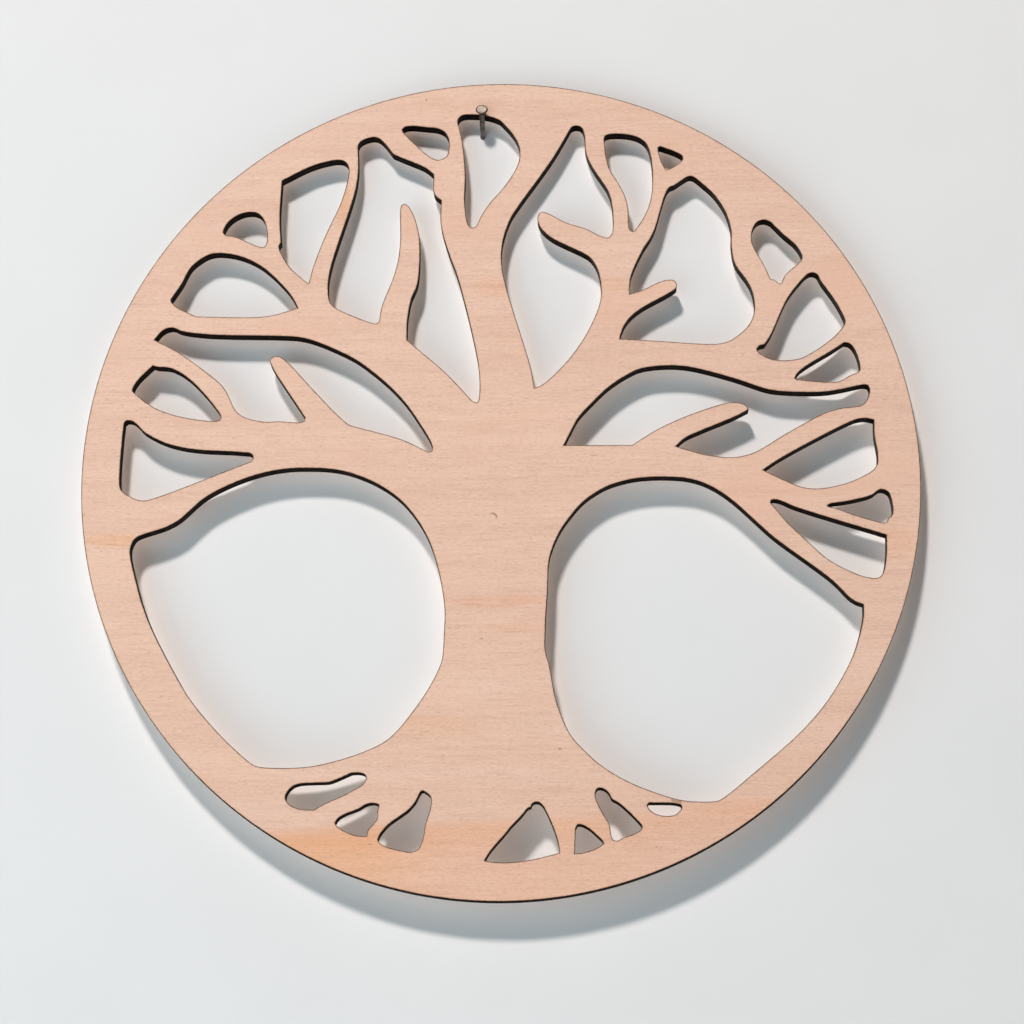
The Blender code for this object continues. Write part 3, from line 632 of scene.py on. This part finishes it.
def wood(name, seed, tone, figure, smoke, char_tone, marks=False):
    """Bare veneer with its grain along X on the faces, burnt where cut_mm is near 0."""
    graph = Graph(name)
    place = in_mm(graph, CENTRE)
    bands, lines, fine, dashes, pores, blotch = grain_noises(graph, place, seed, figure)
    deep = tinted(DEEP, tone)
    light = tinted(LIGHT, tone)
    colour = graph.mix(graph.mapped(bands, 0.32, 0.66), tinted(MID, tone), tinted(PALE, tone))
    colour = graph.mix(graph.mapped(lines, 0.50, 0.80, 0.0, 0.26), colour, deep)
    colour = graph.mix(graph.mapped(fine, 0.48, 0.80, 0.0, 0.48), colour, deep)
    colour = graph.mix(graph.mapped(fine, 0.24, 0.48, 0.42, 0.0), colour, light)
    colour = graph.mix(graph.mapped(dashes, 0.52, 0.74, 0.0, 0.50), colour, deep)
    colour = graph.mix(graph.mapped(dashes, 0.27, 0.47, 0.46, 0.0), colour, light)
    colour = graph.mix(graph.math("MULTIPLY", pores, 0.36), colour, PORE)
    colour = graph.mix(graph.mapped(blotch, 0.48, 0.70, 0.0, 0.38), colour, tinted(STAINED, tone))
    if marks:
        x, _, z = graph.split(place)
        colour = natural_marks(graph, colour, x, z, lines, fine)

    cut = attribute(graph, "cut_mm")
    uneven = graph.grain(place, (0.9, 0.045, 0.9), 3.0, 0.6)
    haze_end = graph.mapped(uneven, 0.3, 0.7, 0.4, HALO * 1.5, smooth=False)
    colour = graph.mix(graph.mapped(cut, 0.15, haze_end, smoke, 0.0), colour, SMOKE)
    burnt, burnt_height = charred(graph, place, char_tone)
    bite = graph.mapped(uneven, 0.3, 0.7, 0.20, 0.34, smooth=False)
    char = graph.mapped(cut, 0.06, bite, 1.0, 0.0)
    scorch_from = graph.math("MULTIPLY", bite, 0.6)
    scorch_to = graph.math("MULTIPLY", bite, 1.8)
    colour = graph.mix(graph.mapped(cut, scorch_from, scorch_to, 0.65, 0.0), colour, SCORCH)
    colour = graph.mix(char, colour, burnt)

    sanded = graph.mapped(fine, 0.25, 0.8, 0.56, 0.70, smooth=False)
    roughness = graph.math("MULTIPLY_ADD", char, 0.22, sanded, clamp=True)
    height = graph.math("MULTIPLY_ADD", fine, -0.6, graph.math("MULTIPLY", pores, -0.8))
    height = graph.math("MULTIPLY_ADD", dashes, -0.35, height)
    relief = graph.bump(height, 0.5, 0.00003)
    relief = graph.bump(graph.math("MULTIPLY", burnt_height, char), 0.7, 0.00006, relief)
    graph.shader.inputs["Specular IOR Level"].default_value = 0.06
    return graph.finish(colour, roughness, relief)


def natural_marks(graph, colour, x, z, lines, fine):
    """The face's own marks: a warm stripe low down, soft stains, a pin knot and flecks."""
    sway = graph.math("MULTIPLY_ADD", graph.math("SUBTRACT", lines, 0.5), 7.0, z)
    sway = graph.math("MULTIPLY_ADD", graph.math("SUBTRACT", fine, 0.5), 2.5, sway)
    depth = graph.math("SUBTRACT", graph.math("MULTIPLY_ADD", x, 0.057, -121.0), sway)
    begins = graph.mapped(x, -100.0, -76.0)
    left = graph.math("MULTIPLY", begins, graph.mapped(x, -50.0, -12.0, 1.0, 0.0))
    whole = graph.math("MULTIPLY", begins, graph.mapped(x, 0.0, 110.0, 1.0, 0.35))
    body = graph.mapped(depth, -2.0, 5.0)
    crest = graph.mapped(depth, -1.5, 3.5)
    crest = graph.math("MULTIPLY", crest, graph.mapped(depth, 4.0, 15.0, 1.0, 0.0))
    ember = graph.mapped(depth, -1.0, 5.0)
    ember = graph.math("MULTIPLY", ember, graph.mapped(depth, 13.0, 26.0, 1.0, 0.25))
    for part, reach, strength, tint in (
        (body, whole, 0.50, (1.02, 0.88, 0.78)),
        (crest, whole, 0.45, (1.0, 0.88, 0.75)),
        (ember, left, 0.60, (1.0, 0.86, 0.68)),
    ):
        share = graph.math("MULTIPLY", graph.math("MULTIPLY", part, reach), strength)
        colour = graph.mix(share, colour, tint, "MULTIPLY")
    for at, size, tint, strength in STAINS:
        mask = spot_mask(graph, x, sway, at, size, 0.05)
        streaky = graph.mapped(fine, 0.30, 0.62, 0.6 * strength, strength)
        mask = graph.math("MULTIPLY", mask, streaky)
        colour = graph.mix(mask, colour, tint, "MULTIPLY")
    from_knot_x = graph.math("ADD", x, -KNOT_AT[0])
    from_knot = graph.join(from_knot_x, 0.0, graph.math("ADD", z, -KNOT_AT[1]))
    away = graph.node("ShaderNodeVectorMath", Vector=from_knot)
    away.operation = "LENGTH"
    ring = graph.math("ABSOLUTE", graph.math("SUBTRACT", away.outputs["Value"], KNOT_RADIUS))
    ring = graph.mapped(ring, 0.12, 0.55, 1.0, 0.0)
    ring = graph.math("MULTIPLY", ring, graph.mapped(x, -4.1, -2.2))
    ring = graph.math("MULTIPLY", ring, graph.mapped(z, -13.9, -12.6))
    colour = graph.mix(graph.math("MULTIPLY", ring, 0.75), colour, KNOT)
    for at, size, strength in FLECKS:
        mask = graph.math("MULTIPLY", spot_mask(graph, x, z, at, size, 0.1), strength)
        colour = graph.mix(mask, colour, FLECK)
    return colour


def steel(name):
    """Drawn wire in a dull oxide skin, with die marks; head rubbed bright plus painted highlight;
    rim painted shade.
    """
    graph = Graph(name)
    place = in_mm(graph)
    drawn = graph.grain(place, (7.0, 0.35, 1.6), 3.0, 0.6)
    cloud = graph.noise(place, 0.9, 4.0, 0.6)
    pits = graph.mapped(graph.noise(place, 4.5, 2.0, 0.5), 0.58, 0.72)
    skin = graph.mix(graph.mapped(cloud, 0.35, 0.7), SKIN, DARK_SKIN)
    skin = graph.mix(graph.mapped(drawn, 0.5, 0.75, 0.0, 0.5), skin, DRAWN)
    down = attribute(graph, "below_top_mm")
    away = attribute(graph, "off_axis")
    # The head's top face is lighter: rubbed bright by the hammer, and partly a painted highlight.
    top = graph.mapped(down, 0.10, 0.30, 1.0, 0.0)
    worn = graph.math("MULTIPLY_ADD", cloud, -0.16, away)
    top = graph.math("MULTIPLY", top, graph.mapped(worn, 0.64, 0.76, 1.0, 0.0))
    bright = graph.mix(graph.mapped(cloud, 0.40, 0.66), RUBBED_FACE_AND_HIGHLIGHT, DULL)
    # A dark ring round the head's rim: painted shade on the rim's side.
    rim = graph.mapped(down, 0.7, 1.0, 0.75, 0.0)
    rim = graph.math("MULTIPLY", graph.mapped(away, 0.80, 0.93), rim)
    colour = graph.mix(rim, graph.mix(top, skin, bright), PAINTED_RIM_SHADE)
    colour = graph.mix(graph.math("MULTIPLY", pits, 0.6), colour, PIT)
    roughness = graph.math("MULTIPLY_ADD", drawn, 0.18, graph.mapped(cloud, 0.3, 0.75, 0.30, 0.46))
    roughness = graph.math("MULTIPLY_ADD", top, 0.20, roughness)
    height = graph.math("MULTIPLY_ADD", pits, -0.6, drawn)
    graph.shader.inputs["Metallic"].default_value = 1.0
    return graph.finish(colour, roughness, graph.bump(height, 0.45, 0.00004))


# Stage

def stage_material(name, colour, front_only=False, glow=0.0):
    """Pale paint. front_only paint lets lights and cameras behind it see through."""
    graph = Graph(name)
    place = in_mm(graph)
    mottle = graph.noise(place, 0.02, 2.0, 0.5)
    tint = graph.mix(graph.mapped(mottle, 0.3, 0.7), tinted(colour, [0.985] * 3), colour)
    graph.finish(tint, 0.9, graph.bump(graph.noise(place, 0.6, 2.0, 0.5), 0.08, 0.0002))
    path = graph.node("ShaderNodeLightPath")
    if glow:
        seen = graph.math("MULTIPLY", path.outputs["Is Camera Ray"], glow)
        graph.put(graph.shader.inputs["Emission Color"], (*colour, 1.0))
        graph.put(graph.shader.inputs["Emission Strength"], seen)
    if front_only:
        facing = graph.node("ShaderNodeNewGeometry").outputs["Backfacing"]
        either = graph.math("MAXIMUM", facing, path.outputs["Is Shadow Ray"])
        blend = graph.tree.nodes.new("ShaderNodeMixShader")
        graph.put(blend.inputs[0], either)
        graph.put(blend.inputs[1], graph.shader.outputs[0])
        graph.put(blend.inputs[2], graph.node("ShaderNodeBsdfTransparent").outputs[0])
        graph.put(graph.tree.nodes["Material Output"].inputs["Surface"], blend.outputs[0])
    return graph.material


def sheet(name, size, matrix, material):
    """A square of painted surface that isn't part of the object."""
    half = size / 2
    data = bpy.data.meshes.new(name)
    corners = [(-half, -half, 0), (half, -half, 0), (half, half, 0), (-half, half, 0)]
    data.from_pydata(corners, [], [(0, 1, 2, 3)])
    data.materials.append(material)
    made = bpy.data.objects.new(name, data)
    made.matrix_world = matrix
    bpy.context.scene.collection.objects.link(made)


def area_light(name, place, target, size, power, colour):
    data = bpy.data.lights.new(name, "AREA")
    data.shape = "DISK"
    data.size = size
    data.energy = power
    data.color = colour
    made = bpy.data.objects.new(name, data)
    made.location = place
    made.rotation_euler = (target - place).to_track_quat("-Z", "Y").to_euler()
    made.visible_camera = False
    bpy.context.scene.collection.objects.link(made)


def build_room():
    """A dim even light, and a pale room where the camera sees past the wall."""
    world = bpy.data.worlds.new("room")
    bpy.context.scene.world = world
    world.use_nodes = True
    nodes = world.node_tree.nodes
    links = world.node_tree.links
    seen = nodes.new("ShaderNodeBackground")
    seen.inputs[0].default_value = SEEN_ROOM
    nodes["Background"].inputs[0].default_value = ROOM_LIGHT
    nodes["Background"].inputs[1].default_value = 0.06
    which = nodes.new("ShaderNodeMixShader")
    links.new(nodes.new("ShaderNodeLightPath").outputs["Is Camera Ray"], which.inputs[0])
    links.new(nodes["Background"].outputs[0], which.inputs[1])
    links.new(seen.outputs[0], which.inputs[2])
    links.new(which.outputs[0], nodes["World Output"].inputs[0])
    bpy.context.scene.view_settings.view_transform = "Standard"


def build_stage():
    upright = Matrix.Rotation(math.pi / 2 + WALL_LEAN, 4, "X")
    wall_place = Matrix.Translation((0, WALL_Y, 0)) @ upright
    sheet("wall", WALL_SIZE, wall_place, stage_material("wall_paint", WALL_PAINT, front_only=True))
    floor_place = Matrix.Translation((0, 0, FLOOR_Z))
    sheet("floor", FLOOR_SIZE, floor_place, stage_material("floor_paint", FLOOR_PAINT, glow=0.78))
    middle = Vector((CENTRE.x, low.y, CENTRE.z))
    for name, place, size, power, colour in LIGHTS:
        area_light(name, middle + place, middle, size, power, colour)
    build_room()


def build_camera():
    """The photograph's own place and angle."""
    data = bpy.data.cameras.new("camera")
    data.sensor_width = 36.0
    data.lens = LENS
    data.clip_start = 0.01
    data.clip_end = 100.0
    camera = bpy.data.objects.new("camera", data)
    bpy.context.scene.collection.objects.link(camera)
    look = CAMERA_LOOK.normalized()
    right = (CAMERA_RIGHT - look * CAMERA_RIGHT.dot(look)).normalized()
    up = right.cross(look)
    turn = Matrix((right, up, -look)).transposed().to_4x4()
    camera.matrix_world = Matrix.Translation(CAMERA_PLACE) @ turn
    bpy.context.scene.camera = camera


build_camera()
build_stage()
rough_rings = cut_rings("face_veneer")
outlines = [circle(RADIUS, RIM_STEPS)] + [smoothed(ring) for ring in rough_rings[1:]]
loose = loose_points(outlines)
# Name, node, mm that it stands back from the cut, burnt edge in front and behind, slot
plies = (
    ("ply_face", "face_veneer", 0.0, True, False, "face_wood"),
    ("ply_front_crossband", "front_crossband", 0.07, False, False, "crossband_wood"),
    ("ply_core", "core_veneer", 0.03, False, False, "core_wood"),
    ("ply_rear_crossband", "rear_crossband", 0.08, False, False, "crossband_wood"),
    ("ply_back", "back_veneer", 0.0, False, True, "face_wood"),
)
# Material, seed, tone of the wood, figure, smoke, tone of the char, has the photo's marks
looks = {
    "ply_face": wood("face_birch", 1.0, (1.0, 1.0, 1.0), 0.07, 0.16, 0.9, marks=True),
    "ply_front_crossband": wood("crossband_birch", 2.0, (0.82, 0.78, 0.72), 1.2, 0.5, 0.15),
    "ply_core": wood("core_birch", 3.0, (0.92, 0.90, 0.86), 1.2, 0.5, 1.3),
    "ply_rear_crossband": wood("rear_crossband_birch", 4.0, (0.82, 0.78, 0.72), 1.2, 0.5, 0.15),
    "ply_back": wood("back_birch", 5.0, (0.94, 0.97, 1.00), 0.45, 0.45, 1.3),
}
for ply_name, node, recess, arris_front, arris_back, slot in plies:
    ply = veneer(ply_name, node, outlines, recess, arris_front, arris_back, loose)
    ply.data.materials.append(looks[ply_name])
spike = nail("wire_nail", "hanging_nail")
spike.data.materials.append(steel("drawn_steel"))
